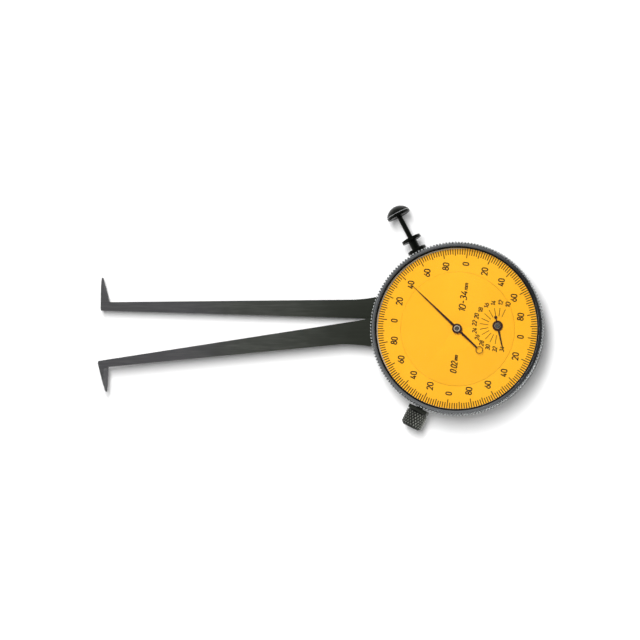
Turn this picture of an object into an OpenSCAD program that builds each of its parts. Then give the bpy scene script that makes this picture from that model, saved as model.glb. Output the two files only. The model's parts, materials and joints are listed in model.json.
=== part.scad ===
// Inside dial caliper: two long hooked arms, a dial head and a push button that closes the jaws.
// Millimetres. The origin is on the dial axis at the back face, +Z comes out of the dial,
// and the arms reach out along -X. Rest is the sprung-open jaw.

/* [Measuring range] */
// Jaw opening at rest, arms sprung fully open
open_reading = 34.4; // [30:0.2:38]
// Smallest opening, button pressed home
shut_reading = 10; // [8:0.5:20]
// Change of opening for one turn of the long hand
mm_per_turn = 4; // [3.8:0.1:6]
// Distance from the arm pivot to both jaw tips
jaw_r = 93.68; // [80:0.5:110]

/* [Gear train] */
// Teeth in a full circle of the internal sector
sector_n = 292; // [286:2:300]
// Teeth of the pinion driven by the sector
drive_n = 20; // [18:1:22]
// Teeth of the wheel that drives the long hand
wheel_n = 110; // [104:2:112]
// Teeth of the long hand pinion
centre_n = 11; // [10:1:12]
// Teeth of the hairspring wheel
hair_n = 80; // [70:2:86]
// Direction of the short hand arbor from the dial axis
counter_dir = 4; // [-4:1:10]
// Direction from the arm pivot to the short hand arbor
sector_dir = -4.546; // [-8:0.5:0]
// Gear thickness
gear_t = 0.6; // [0.4:0.1:0.8]
// Arbor radius
arbor_r = 0.45; // [0.35:0.05:0.55]

/* [Dial and bezel] */
// Radius of the dial seen inside the bezel
dial_r = 24; // [21.6:0.1:27]
// Radius of the still inner dial
inner_dial_r = 16.95; // [15.5:0.1:18]
// Thickness of the dial plates
dial_t = 0.4; // [0.3:0.1:0.6]
// Teeth round the bezel grip
knurl_n = 170; // [120:10:200]
// Depth of the bezel grip teeth
knurl_d = 0.5; // [0.2:0.05:0.5]
// Radius of the flat top of the crystal
crystal_flat_r = 17; // [14:0.5:20]
// Rise of the crystal from its rim to its flat top
crystal_rise = 1.3; // [1.1:0.1:2]
// Length of the long hand from its axis
hand_l = 18.8; // [14:0.2:21]
// Length of the short hand from its axis
small_hand_l = 6.6; // [4:0.2:8]

/* [Case] */
// Wall thickness of the case
case_wall = 1.7; // [1.5:0.1:1.8]
// Back cover thickness
cover_t = 1.2; // [0.9:0.1:2]
// Floor thickness
floor_t = 1.2; // [1:0.1:2]
// Radius of the opening in the floor
floor_open_r = 10; // [8:0.5:10.5]
// Distance of the back cover screws from the case wall
cover_screw_in = 3.5; // [3:0.1:4.5]

/* [Arms] */
// Thickness of each arm
arm_t = 2.2; // [1.8:0.1:2.8]
// Gap between the two arms
arm_gap = 0.2; // [0.15:0.05:0.4]
// Direction of the fixed jaw tip above the arm axis
fixed_dir = 7.79; // [7:0.1:9]
// Height of the hooks above the arms
claw_h = 7.4; // [5:0.2:10]
// Width of the fixed arm next to its hook
fixed_tip_w = 2.5; // [2:0.1:3.5]
// Width of the moving arm next to its hook
moving_tip_w = 1.75; // [1.5:0.1:3]
// Radius of the measuring tips
tip_r = 0.25; // [0.2:0.05:0.5]
// Width of the bevel on each hook
bevel_w = 1.2; // [0.6:0.1:1.4]
// Radius of the arm pivot pin
pivot_r = 1.5; // [1.2:0.1:1.8]
// Radius of the arm hubs
hub_r = 4.4; // [4:0.1:4.8]

/* [Push button] */
// Direction of the button from the dial axis
button_dir = 118; // [114:1:122]
// Radius of the button rod
rod_r = 0.75; // [0.6:0.05:0.9]
// Radius of the button
button_r = 3.6; // [3:0.1:4.5]
// Distance from the case to the underside of the button
button_reach = 13.2; // [11:0.1:16]
// Distance from the case to the finger flange
flange_reach = 4.9; // [3.5:0.1:6]

/* [Bezel lock] */
// Direction of the lock knob from the dial axis
lock_dir = 243.5; // [238:0.5:252]
// Knob radius
knob_r = 3.3; // [2.6:0.1:3.5]
// Knob length
knob_l = 5.2; // [4:0.2:9]
// Thread pitch of the lock screw
lock_pitch = 0.5; // [0.35:0.05:0.6]
// Travel of the clamp shoe
lock_travel = 0.2; // [0.1:0.05:0.3]

/* [Clearances] */
// Running clearance on a radius
run_c = 0.03; // [0.02:0.01:0.06]
// Gap at faces that stop or push
touch_c = 0.05; // [0.03:0.01:0.1]
// Free gap between moving pieces
free_c = 0.3; // [0.2:0.05:0.4]

/* [Hidden] */
$fn = 96;

function pol(r, a) = [r * cos(a), r * sin(a)];
web_in = 0.02;  // how far a web's side enters its disc

// Heights, from the back face up
floor_z = cover_t;
fixed_z = floor_z + floor_t;
moving_z = fixed_z + arm_t + arm_gap;
moving_top = moving_z + arm_t;
plate_t = 1;
plate_z = moving_top + free_c + 0.1;
plate_top = plate_z + plate_t;
wheel_z = plate_top + 0.4;
spring_z = wheel_z + gear_t + 0.3;
spring_h = 0.5;
bridge_t = 0.8;
bridge_z = spring_z + spring_h + 0.4;
dial_z = bridge_z + bridge_t;
dial_top = dial_z + dial_t;
rim_top = dial_z - 0.6;
rim_z = plate_z + 1.2;
small_hand_z = dial_top + 0.5;
hand_z = small_hand_z + 0.6;
hand_t = 0.2;
hub_neck_r = 0.94;
hub_foot_t = 0.2;
lip_z = dial_top + 1.9;
bezel_top = lip_z + 1;
bezel_z = rim_z + 0.2;

// Radii of the case and bezel, from the visible dial out
bezel_in = dial_r + 0.5;
rim_r = bezel_in - 0.1;
case_r = dial_r + 1.2;
case_in = case_r - case_wall;
bezel_root = case_r + 0.2;
bezel_tip = bezel_root + knurl_d;
knurl_in = 0.12;  // how far the flanks of the knurl run into the ring

// Gear train, with a tooth module that lets the wheels fill the dial
gear_m = dial_r / 120;
drive_pitch_r = gear_m * drive_n / 2;
wheel_pitch_r = gear_m * wheel_n / 2;
centre_pitch_r = gear_m * centre_n / 2;
hair_pitch_r = gear_m * hair_n / 2;
sector_pitch_r = gear_m * sector_n / 2;
addendum = 0.8 * gear_m;
dedendum = 1.1 * gear_m;
counter_p = pol(wheel_pitch_r + centre_pitch_r, counter_dir);
pivot_p = counter_p - pol(sector_pitch_r - drive_pitch_r, sector_dir);
hair_leaf = 6;
hair_dir = counter_dir + (hair_leaf + 0.5) * 360 / centre_n;
hair_p = pol(hair_pitch_r + centre_pitch_r, hair_dir);
train_ratio = sector_n / drive_n * wheel_n / centre_n;
swing = 360 * (open_reading - shut_reading) / mm_per_turn / train_ratio;
sector_pitch_a = 360 / sector_n;
window_a = asin((drive_pitch_r + addendum + free_c) / (sector_pitch_r - drive_pitch_r));
window_lo = sector_dir - window_a;
window_hi = sector_dir + swing + window_a;
side_a = 4;
sector_lo = window_lo - side_a;
sector_hi = window_hi + side_a;
sector_out_r = sector_pitch_r + dedendum + 2.2;
window_in_r = sector_pitch_r - 2 * drive_pitch_r - addendum - free_c;
sector_seat_a = (sector_lo + sector_hi) / 2;
sector_seat_r = window_in_r - 7.6;
sector_t = 1;
sector_z = moving_top - sector_t - 0.2;
sector_in_r = sector_seat_r - 3.2;
sector_screw_r = 0.7;
sector_screws = [for (s = [-1, 1]) pivot_p + pol(sector_seat_r, sector_seat_a + s * 7)];

// Swing stops, one on each side of the sector
stop_r = 0.8;
stop_at = window_in_r - 2.74;
stop_a = asin((stop_r + touch_c) / stop_at);
stop_pts = [
  pivot_p + pol(stop_at, sector_hi + stop_a),
  pivot_p + pol(stop_at, sector_lo - swing - stop_a)
];

// Push button geometry on its own line through the dial axis
push_z = moving_z + arm_t / 2;
button_v = pol(1, button_dir);
push_arm = abs(pivot_p[0] * button_v[1] - pivot_p[1] * button_v[0]);
push_foot = pivot_p[0] * button_v[0] + pivot_p[1] * button_v[1];
foot_v = push_foot * button_v - pivot_p;
nose_r = 1.6;
nose_web = 2.4;
nose_p = pivot_p + pol(push_arm, atan2(foot_v[1], foot_v[0]) + swing / 2);
rod_end = push_foot + push_arm * sin(swing / 2) + nose_r + touch_c;
seat_r = case_r + 0.3;
bush_r = 1.3;
bush_in = case_in - 1.2;
flange_in = case_r + flange_reach;
flange_t = 1;
flange_r = 3;
nut_neck_r = 2.3;
nut_neck_l = 1;
nut_r = 2.9;
nut_t = 0.9;
nut_edge = 0.15;
button_in = case_r + button_reach;
push_stroke = 2 * push_arm * sin(swing / 2);

// Bezel lock
lock_z = bezel_z - knob_r - 0.1;
lock_screw_r = 1;
shoe_in = bezel_tip + lock_travel + touch_c;
shoe_t = 1.1;
shoe_top = bezel_z + 1.3;
shoe_w = 5.8;
shoe_foot = 2.8;
knob_in = shoe_in + shoe_t;

// Movement supports
pillar_r = 1.5;
pillar_at = inner_dial_r - 2.35;
pillar_pts = [for (a = [150, 80, 283]) pol(pillar_at, a)];
pillar_screw_r = 0.7;
plate_screw_r = 0.8;
lug_dirs = [68, 298, 215];
lug_l = 3.2;
lug_w = 4.4;
lug_pts = [for (a = lug_dirs) pol(case_in - lug_l / 2, a)];
dial_foot_r = 0.5;
dial_feet = [for (a = [120, 320]) pol(inner_dial_r - 5.95, a)];
cock_posts = [counter_p + gear_m * [37, 16], counter_p + gear_m * [35.5, -27]];
cock_t = 1;
cock_z = moving_z - 0.6 - cock_t;

// Return spring between the tail of the moving arm and the floor
anchor_p = pivot_p + pol(sector_seat_r - 1.14, sector_seat_a + 11);
post_p = pol(case_in - 3.3, 81.5);
pin_r = 0.5;
coil_z = (fixed_z + moving_z) / 2;
coil_r = 0.8;
coil_wire = 0.15;

// Arm screws
jaw_screw_r = 0.9;
jaw_screw_a = [-5.4, 3.9];
jaw_screw_b = [4.2, 4.4];
jaw_screws = [pivot_p + jaw_screw_a, pivot_p + jaw_screw_b];
cover_screw_hole = 1;
cover_screws = [for (a = [45, 135, 225, 315]) pol(case_in - cover_screw_in, a)];

// Outline of each arm, measured from the pivot along and across the arm:
// where it leaves the case, how its hook leans and how far its end face stands out
fixed_foot = 2.2;
fixed_end = 0.24;
moving_foot = 0.65;
moving_end = 2.28;
fixed_flare = 0.9;
moving_flare = 0.6;
fixed_root = [18, 6.05];
fixed_inner = [11.9, 0.38];
moving_root = [20, 7.4];
moving_inner = [13.4, 0.1];
flare_l = 8.5;
moving_dir = 2 * asin(open_reading / 2 / jaw_r) - fixed_dir;
fixed_tip = pol(jaw_r, fixed_dir);
moving_tip = pol(jaw_r, moving_dir);

module disc(p, r, z0, z1) {
  translate([p[0], p[1], z0])
    cylinder(r = r, h = z1 - z0);
}

module tube(p, r_out, r_in, z0, z1) {
  difference() {
    disc(p, r_out, z0, z1);
    disc(p, r_in, z0 - 1, z1 + 1);
  }
}

module slab(z0, z1) {
  translate([0, 0, z0])
    linear_extrude(z1 - z0)
      children();
}

// Flat bar along +X that narrows from one width to another
module taper(from_w, to_w, l) {
  polygon([[0, -from_w / 2], [l, -to_w / 2], [l, to_w / 2], [0, from_w / 2]]);
}

// Collar on an arbor at p: a foot under a hand and a neck through its eye
module hand_hub(p, foot_r, z, above) {
  difference() {
    union() {
      disc(p, hub_neck_r, z - hub_foot_t, z + above);
      disc(p, foot_r, z - hub_foot_t, z);
    }
    disc(p, arbor_r, z - 1, z + 2);
  }
}

// Local +Z points away from the dial axis, at height z
module radial(a, z) {
  translate([0, 0, z])
    rotate([0, 0, a])
      rotate([0, 90, 0])
        children();
}

// Two discs joined by a web whose sides enter the discs just inside their outer tangents
module link(c1, r1, c2, r2) {
  d = norm(c2 - c1);
  a = atan2(c2[1] - c1[1], c2[0] - c1[0]);
  b = acos((r1 - r2) / d);
  q1 = r1 - web_in;
  q2 = r2 - web_in;
  translate(c1)
    circle(r = r1);
  translate(c2)
    circle(r = r2);
  polygon([c1 + pol(q1, a - b), c2 + pol(q2, a - b), c2 + pol(q2, a + b), c1 + pol(q1, a + b)]);
}

// Toothed outline with a tooth centred on direction a0
module gear_outline(n, a0) {
  root = gear_m * n / 2 - dedendum;
  tip = gear_m * n / 2 + addendum;
  p = 360 / n;
  polygon([for (i = [0 : n - 1], k = [[-0.3, 0], [-0.11, 1], [0.11, 1], [0.3, 0]])
    pol(k[1] == 0 ? root : tip, a0 + (i + k[0]) * p)]);
}

module arc_band(r_in, r_out, lo, hi) {
  steps = 24;
  polygon(concat(
    [for (i = [0 : steps]) pol(r_out, lo + (hi - lo) * i / steps)],
    [for (i = [steps : -1 : 0]) pol(r_in, lo + (hi - lo) * i / steps)]
  ));
}

// Flush screw with its head at z_head, driven along -Z or, with up, along +Z
module flush_screw(p, r, z_head, l, up = false) {
  translate([p[0], p[1], z_head])
    mirror([0, 0, up ? 0 : 1]) {
      difference() {
        cylinder(r1 = 1.85 * r, r2 = r, h = 0.85 * r);
        translate([-2 * r, -0.18 * r, -0.1])
          cube([4 * r, 0.36 * r, 0.1 + 0.3 * r]);
      }
      cylinder(r = r * 0.98, h = l);
    }
}

module flush_hole(p, r, z_head, l, up = false) {
  translate([p[0], p[1], z_head])
    mirror([0, 0, up ? 0 : 1]) {
      cylinder(r1 = 1.85 * r + 0.02, r2 = r + 0.02, h = 0.85 * r + 0.01);
      translate([0, 0, -0.5])
        cylinder(r = 1.85 * r + 0.02, h = 0.5);
      cylinder(r = r, h = l + 0.2);
    }
}

// Flat arm in (u, v): u runs from the pivot to the jaw, v to the side of the hook
module arm_outline(tip, foot_du, end_du, tip_w, root, inner, flare) {
  claw_foot = tip - [foot_du, claw_h];
  end = tip + [end_du, -claw_h - tip_w];
  top = tip - [0, tip_r];
  steps = 8;
  polygon(concat(
    [inner, end, end + [0.12, 0.75], top + [tip_r, 0], top - [tip_r, 0], claw_foot],
    [for (i = [0 : steps]) root + [-flare_l * i / steps, flare * i * i / steps / steps]],
    [[2.5, hub_r - 0.6], [2.5, -hub_r + 1]]
  ));
  translate(top)
    circle(r = tip_r, $fn = 48);
  circle(r = hub_r);
}

// Cuts the upper edge of a hook along its flank, from foot towards top
module claw_bevel(foot, top, z_top) {
  a = atan2(top[1] - foot[1], top[0] - foot[0]);
  slope = atan((arm_t - 0.4) / bevel_w);
  translate([foot[0], foot[1], z_top - arm_t + 0.4])
    rotate([0, 0, a])
      rotate([-slope, 0, 0])
        translate([0.2, -6, 0])
          cube([claw_h * 2, 12, 6]);
}

module case_body() {
  gate_x = case_r + 1 + pivot_p[0];
  gate_y = moving_root[1] + fixed_root[1] + 2.4;
  color([0.16, 0.17, 0.17])
    difference() {
      union() {
        difference() {
          rotate_extrude()
            polygon([[case_in, 0], [case_r - 0.4, 0], [case_r, 0.4], [case_r, rim_z], [rim_r, rim_z],
              [rim_r, rim_top - 0.2], [rim_r - 0.2, rim_top], [case_in, rim_top]]);
          translate([-case_r - 1, pivot_p[1] - moving_root[1] - 1, fixed_z])
            cube([gate_x, gate_y, moving_top + free_c - fixed_z]);
        }
        tube([0, 0], case_in + 0.4, floor_open_r, floor_z, fixed_z);
        for (a = lug_dirs)
          intersection() {
            rotate([0, 0, a])
              translate([case_in - lug_l, -lug_w / 2, fixed_z - 0.2])
                cube([lug_l + 1, lug_w, plate_z - fixed_z + 0.2]);
            disc([0, 0], case_in + 0.3, 0, plate_z);
          }
        radial(button_dir, push_z)
          translate([0, 0, case_in + 0.5])
            cylinder(r = 2.6, h = seat_r - case_in - 0.5);
        radial(lock_dir, lock_z)
          translate([0, 0, case_in - 1.2])
            cylinder(r = 1.75, h = 1.8);
      }
      for (p = jaw_screws)
        disc(p, jaw_screw_r, floor_z - 1, fixed_z + 1);
      for (p = cover_screws)
        disc(p, cover_screw_hole, floor_z - 1, fixed_z + 0.5);
      disc(pivot_p, pivot_r, floor_z - 1, fixed_z + 1);
      disc(post_p, pin_r, floor_z - 1, fixed_z + 1);
      for (p = lug_pts)
        disc(p, plate_screw_r, plate_z - 3, plate_z + 1);
      radial(button_dir, push_z)
        translate([0, 0, case_in - 3])
          cylinder(r = bush_r, h = 8);
      radial(lock_dir, lock_z)
        translate([0, 0, case_in - 3])
          cylinder(r = lock_screw_r + run_c, h = 8);
      rotate_extrude()
        translate([bezel_in - 0.05, bezel_z + 1])
          circle(r = 0.38, $fn = 32);
    }
}

module back_cover() {
  color([0.2, 0.21, 0.21])
    difference() {
      disc([0, 0], case_in - 0.1, 0, cover_t);
      for (p = cover_screws)
        flush_hole(p, cover_screw_hole, 0, cover_t + 1, true);
    }
}

module cover_screws() {
  color([0.35, 0.35, 0.35])
    for (p = cover_screws)
      flush_screw(p, cover_screw_hole, 0, cover_t + floor_t - 0.1, true);
}

module fixed_jaw() {
  foot = [-fixed_foot, -claw_h];
  color([0.27, 0.28, 0.27])
    difference() {
      translate([pivot_p[0], pivot_p[1], 0])
        mirror([1, 0, 0])
          difference() {
            slab(fixed_z, fixed_z + arm_t) {
              arm_outline(fixed_tip, fixed_foot, fixed_end, fixed_tip_w,
                fixed_root, fixed_inner, fixed_flare);
              link([-jaw_screw_a[0], jaw_screw_a[1]], 2.2, [-jaw_screw_b[0], jaw_screw_b[1]], 2.3);
            }
            claw_bevel(fixed_tip + foot, fixed_tip - [tip_r, tip_r], fixed_z + arm_t);
          }
      disc(pivot_p, pivot_r, 0, plate_top);
      for (p = jaw_screws)
        flush_hole(p, jaw_screw_r, fixed_z + arm_t, arm_t + 1);
    }
}

module jaw_screws() {
  color([0.4, 0.4, 0.4])
    for (p = jaw_screws)
      flush_screw(p, jaw_screw_r, fixed_z + arm_t, arm_t + floor_t - 0.2);
}

module pivot_pin() {
  color([0.62, 0.63, 0.64])
    disc(pivot_p, pivot_r, floor_z + 0.1, plate_top);
}

module pivot_washer() {
  color([0.66, 0.5, 0.28])
    tube(pivot_p, hub_r - 0.9, pivot_r, fixed_z + arm_t, moving_z - run_c);
}

module main_plate() {
  color([0.72, 0.6, 0.33])
    difference() {
      disc([0, 0], case_in - 0.2, plate_z, plate_top);
      disc(pivot_p, pivot_r, plate_z - 1, plate_top + 1);
      for (p = [[0, 0], counter_p, hair_p])
        disc(p, arbor_r + run_c, plate_z - 1, plate_top + 1);
      for (p = concat(lug_pts, cock_posts))
        flush_hole(p, plate_screw_r, plate_top, plate_t + 1);
      for (p = pillar_pts)
        disc(p, pillar_r / 2, plate_z - 1, plate_top + 1);
      for (p = stop_pts)
        disc(p, stop_r, plate_z - 1, plate_top + 1);
    }
}

module plate_screws() {
  color([0.5, 0.5, 0.52])
    for (p = lug_pts)
      flush_screw(p, plate_screw_r, plate_top, plate_t + 2);
}

module counter_cock() {
  color([0.72, 0.6, 0.33])
    difference() {
      union() {
        slab(cock_z, cock_z + cock_t)
          for (p = cock_posts)
            link(counter_p, 1.8, p, 1.6);
        for (p = cock_posts)
          disc(p, 1.6, cock_z, plate_z);
      }
      disc(counter_p, arbor_r + run_c, cock_z - 1, cock_z + cock_t + 1);
      for (p = cock_posts)
        disc(p, plate_screw_r, plate_z - 3, plate_z + 1);
    }
}

module cock_screws() {
  color([0.5, 0.5, 0.52])
    for (p = cock_posts)
      flush_screw(p, plate_screw_r, plate_top, plate_t + 2);
}

module bridge_pillars() {
  color([0.75, 0.64, 0.38])
    for (p = pillar_pts)
      difference() {
        union() {
          disc(p, pillar_r, plate_top, bridge_z);
          disc(p, pillar_r / 2, plate_z + 0.1, plate_top + 0.1);
        }
        disc(p, pillar_screw_r, bridge_z - 1.6, bridge_z + 1);
      }
}

module bridge_plate() {
  color([0.72, 0.6, 0.33])
    difference() {
      disc([0, 0], inner_dial_r - 0.3, bridge_z, dial_z);
      for (p = [[0, 0], counter_p, hair_p])
        disc(p, arbor_r + run_c, bridge_z - 1, dial_z + 1);
      for (p = pillar_pts)
        flush_hole(p, pillar_screw_r, dial_z, bridge_t + 1);
      for (p = dial_feet)
        disc(p, dial_foot_r, bridge_z - 1, dial_z + 1);
    }
}

module bridge_screws() {
  color([0.5, 0.5, 0.52])
    for (p = pillar_pts)
      flush_screw(p, pillar_screw_r, dial_z, bridge_t + 1.3);
}

module swing_stops() {
  color([0.6, 0.6, 0.62])
    for (p = stop_pts)
      disc(p, stop_r, sector_z - 0.2, plate_top);
}

module spring_post() {
  color([0.6, 0.6, 0.62])
    disc(post_p, pin_r, floor_z + 0.1, moving_z - 0.3);
}

function unit(v) = v / norm(v);

// One normal per point of a path, carried along it without twist
function carried(path, i, n) =
  i == len(path) ? [] :
  let (
    t = unit(path[min(i + 1, len(path) - 1)] - path[max(i - 1, 0)]),
    m = unit(n - (n * t) * t)
  )
  concat([[m, cross(t, m)]], carried(path, i + 1, m));

// Round wire along a path
module wire(path, r, first_normal) {
  sides = 6;
  n = len(path);
  frames = carried(path, 0, first_normal);
  points = [for (i = [0 : n - 1], k = [0 : sides - 1])
    path[i] + r * (frames[i][0] * cos(360 * k / sides) + frames[i][1] * sin(360 * k / sides))];
  faces = concat(
    [[for (k = [0 : sides - 1]) k]],
    [[for (k = [sides - 1 : -1 : 0]) (n - 1) * sides + k]],
    [for (i = [0 : n - 2], k = [0 : sides - 1])
      let (a = i * sides + k, b = i * sides + (k + 1) % sides)
      [a, a + sides, b]],
    [for (i = [0 : n - 2], k = [0 : sides - 1])
      let (a = i * sides + k, b = i * sides + (k + 1) % sides)
      [a + sides, b + sides, b]]
  );
  polyhedron(points = points, faces = faces);
}

// Coil with a hook at each end, drawn from the tail pin to the floor post
module return_spring() {
  way = post_p - anchor_p;
  span = norm(way);
  hook = pin_r + coil_wire + touch_c;
  lead_in = hook + 1;
  run = span - 2 * lead_in;
  turns = 8;
  rings = 8;
  near_hook = [for (a = [60 : 15 : 330]) [hook * cos(a), hook * sin(a), 0]];
  coil = [for (i = [0 : turns * rings])
    [lead_in + run * i / turns / rings, -coil_r * cos(360 * i / rings), -coil_r * sin(360 * i / rings)]];
  far_hook = [for (p = near_hook) [span - p[0], -p[1], 0]];
  path = concat(near_hook, coil, [for (i = [len(far_hook) - 1 : -1 : 0]) far_hook[i]]);
  apart = [for (i = [0 : len(path) - 6], j = [i + 6 : len(path) - 1]) norm(path[j] - path[i])];
  echo(least_gap = min(apart) - 2 * coil_wire);
  color([0.7, 0.7, 0.72])
    translate([anchor_p[0], anchor_p[1], coil_z])
      rotate([0, 0, atan2(way[1], way[0])])
        wire(path, coil_wire, [0, 0, 1]);
}

// Flat spiral from the collet of its wheel out to the stud
module hairspring() {
  turns = 4;
  r0 = 1.35;
  r1 = 5;
  w = 0.07;
  count = turns * 30;
  lap = 360 * turns / count;
  color([0.45, 0.47, 0.55])
    slab(spring_z, spring_z + spring_h)
      translate(hair_p)
        polygon(concat(
          [for (i = [0 : count]) pol(r0 + (r1 - r0) * i / count + w, hair_dir + lap * i)],
          [for (i = [count : -1 : 0]) pol(r0 + (r1 - r0) * i / count - w, hair_dir + lap * i)]
        ));
}

module hairspring_stud() {
  color([0.6, 0.6, 0.62])
    disc(hair_p + pol(5.5, hair_dir), 0.42, spring_z - 0.1, bridge_z);
}

module dial_disc() {
  color([0.95, 0.7, 0.12])
    difference() {
      union() {
        disc([0, 0], inner_dial_r, dial_z, dial_top);
        for (p = dial_feet)
          disc(p, dial_foot_r, bridge_z + 0.1, dial_z + 0.1);
      }
      for (p = [[0, 0], counter_p])
        disc(p, arbor_r + 0.25, dial_z - 1, dial_top + 1);
    }
}

module bezel_snap_ring() {
  color([0.55, 0.55, 0.57])
    translate([0, 0, bezel_z + 1])
      rotate_extrude(angle = 340)
        translate([bezel_in - 0.09, 0])
          circle(r = 0.26, $fn = 32);
}

module button_bush() {
  color([0.13, 0.13, 0.13])
    radial(button_dir, push_z)
      difference() {
        union() {
          translate([0, 0, bush_in])
            cylinder(r = bush_r, h = flange_in - bush_in + 0.1);
          translate([0, 0, flange_in])
            cylinder(r = flange_r, h = flange_t);
        }
        translate([0, 0, bush_in - 1])
          cylinder(r = rod_r + run_c, h = 20);
      }
}

module button_nut() {
  color([0.13, 0.13, 0.13])
    radial(button_dir, push_z)
      difference() {
        translate([0, 0, seat_r]) {
          cylinder(r = nut_neck_r, h = nut_neck_l + 0.1);
          translate([0, 0, nut_neck_l])
            cylinder(r = nut_r, h = nut_t - nut_edge);
          translate([0, 0, nut_neck_l + nut_t - nut_edge])
            cylinder(r1 = nut_r, r2 = nut_r - nut_edge, h = nut_edge);
        }
        translate([0, 0, seat_r - 1])
          cylinder(r = bush_r, h = nut_neck_l + nut_t + 2);
      }
}

module moving_jaw() {
  foot = [-moving_foot, -claw_h];
  seat = pivot_p + pol(sector_seat_r, sector_seat_a);
  color([0.29, 0.3, 0.29])
    difference() {
      union() {
        translate([pivot_p[0], pivot_p[1], 0])
          rotate([0, 0, 180])
            difference() {
              slab(moving_z, moving_top)
                arm_outline(moving_tip, moving_foot, moving_end, moving_tip_w,
                  moving_root, moving_inner, moving_flare);
              claw_bevel(moving_tip + foot, moving_tip - [tip_r, tip_r], moving_top);
            }
        slab(moving_z, moving_top)
          link(pivot_p, nose_web, nose_p, nose_web / 2);
        disc(nose_p, nose_r, moving_z, moving_top);
        slab(moving_z, sector_z)
          link(pivot_p, hub_r, seat, 4);
      }
      disc(pivot_p, pivot_r + run_c, 0, plate_top);
      for (p = sector_screws)
        disc(p, sector_screw_r, moving_z - 1, sector_z + 1);
      disc(anchor_p, pin_r, moving_z - 1, sector_z + 1);
      translate([pivot_p[0], pivot_p[1], 0])
        slab(sector_z, moving_top + 1)
          arc_band(sector_in_r - 0.1, sector_out_r, sector_lo - 1, sector_hi + 1);
    }
}

module sector_gear() {
  i_lo = -3;
  i_hi = ceil(swing / sector_pitch_a) + 2;
  root = sector_pitch_r + dedendum;
  tip = sector_pitch_r - addendum;
  steps = 16;
  color([0.78, 0.63, 0.3])
    difference() {
      translate([pivot_p[0], pivot_p[1], 0])
        slab(sector_z, sector_z + sector_t)
          difference() {
            arc_band(sector_in_r, sector_out_r, sector_lo, sector_hi);
            polygon(concat(
              [pol(root, window_lo)],
              [for (i = [i_lo : i_hi], k = [[-0.3, 0], [-0.11, 1], [0.11, 1], [0.3, 0]])
                pol(k[1] == 0 ? root : tip, sector_dir + (i + 0.5 + k[0]) * sector_pitch_a)],
              [pol(root, window_hi)],
              [for (i = [steps : -1 : 0]) pol(window_in_r, window_lo + (window_hi - window_lo) * i / steps)]
            ));
          }
      for (p = sector_screws)
        disc(p, sector_screw_r, moving_z, plate_z);
    }
}

module sector_screws() {
  color([0.5, 0.5, 0.52])
    for (p = sector_screws) {
      disc(p, sector_screw_r, moving_z + 0.1, sector_z + sector_t);
      disc(p, 1.2, sector_z + sector_t, sector_z + sector_t + 0.3);
    }
}

module spring_pin() {
  color([0.6, 0.6, 0.62])
    disc(anchor_p, pin_r, fixed_z + 0.3, sector_z);
}

module button_rod() {
  color([0.1, 0.1, 0.1])
    radial(button_dir, push_z)
      difference() {
        translate([0, 0, rod_end])
          cylinder(r = rod_r, h = button_in + 1.2 - rod_end);
        translate([0, 0, bush_in - 0.7])
          difference() {
            cylinder(r = rod_r + 1, h = 0.4);
            cylinder(r = rod_r - 0.2, h = 0.4);
          }
      }
}

module button_head() {
  dome_h = 2.2;
  rim_h = 1;
  ball_r = (button_r * button_r + dome_h * dome_h) / (2 * dome_h);
  color([0.12, 0.13, 0.12])
    radial(button_dir, push_z)
      difference() {
        translate([0, 0, button_in])
          intersection() {
            cylinder(r = button_r, h = rim_h + dome_h);
            translate([0, 0, rim_h + dome_h - ball_r])
              sphere(r = ball_r);
          }
        translate([0, 0, button_in - 1])
          cylinder(r = rod_r, h = 2.2);
      }
}

module rod_clip() {
  color([0.55, 0.55, 0.57])
    radial(button_dir, push_z)
      translate([0, 0, bush_in - 0.7])
        difference() {
          cylinder(r = rod_r + 0.45, h = 0.4);
          translate([0, 0, -1])
            cylinder(r = rod_r - 0.2, h = 3);
          translate([0, -rod_r + 0.2, -1])
            cube([3, 2 * rod_r - 0.4, 3]);
        }
}

module counter_arbor() {
  color([0.68, 0.69, 0.7])
    union() {
      disc(counter_p, arbor_r, cock_z + 0.1, small_hand_z + 0.4);
      disc(counter_p, arbor_r + 0.4, cock_z + cock_t + 0.1, sector_z - 0.2);
      disc(counter_p, arbor_r + 0.4, plate_top + 0.1, wheel_z);
      slab(sector_z - 0.25, sector_z + sector_t + 0.25)
        translate(counter_p)
          gear_outline(drive_n, sector_dir);
    }
}

module counter_wheel() {
  color([0.8, 0.66, 0.33])
    difference() {
      slab(wheel_z, wheel_z + gear_t)
        translate(counter_p)
          gear_outline(wheel_n, counter_dir + 180);
      disc(counter_p, arbor_r, wheel_z - 1, wheel_z + 2);
      for (a = [0 : 72 : 288])
        disc(counter_p + pol(wheel_pitch_r * 0.57, a + 30), wheel_pitch_r * 0.24, wheel_z - 1, wheel_z + 2);
    }
}

module small_hand() {
  a = 102.6;
  eye_r = 1.55;
  root_w = 0.68;
  tip_w = 0.32;
  tail_l = 2.6;
  tail_w = 0.44;
  neck_w = 0.28;
  dot_r = 0.48;
  color([0.12, 0.09, 0.08])
    difference() {
      slab(small_hand_z, small_hand_z + hand_t)
        translate(counter_p)
          rotate(a) {
            circle(r = eye_r);
            rotate(180)
              taper(root_w, tip_w, small_hand_l);
            taper(tail_w, neck_w, tail_l);
            translate([tail_l, 0])
              circle(r = dot_r, $fn = 48);
          }
      disc(counter_p, hub_neck_r, small_hand_z - 1, small_hand_z + 1);
    }
}

module small_hand_hub() {
  color([0.7, 0.7, 0.7])
    hand_hub(counter_p, 1.2, small_hand_z, 0.45);
}

module centre_arbor() {
  color([0.68, 0.69, 0.7])
    union() {
      disc([0, 0], arbor_r, plate_z + 0.1, hand_z + 0.4);
      slab(wheel_z - 0.15, wheel_z + gear_t + 0.15)
        gear_outline(centre_n, counter_dir + 180 / centre_n);
    }
}

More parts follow.
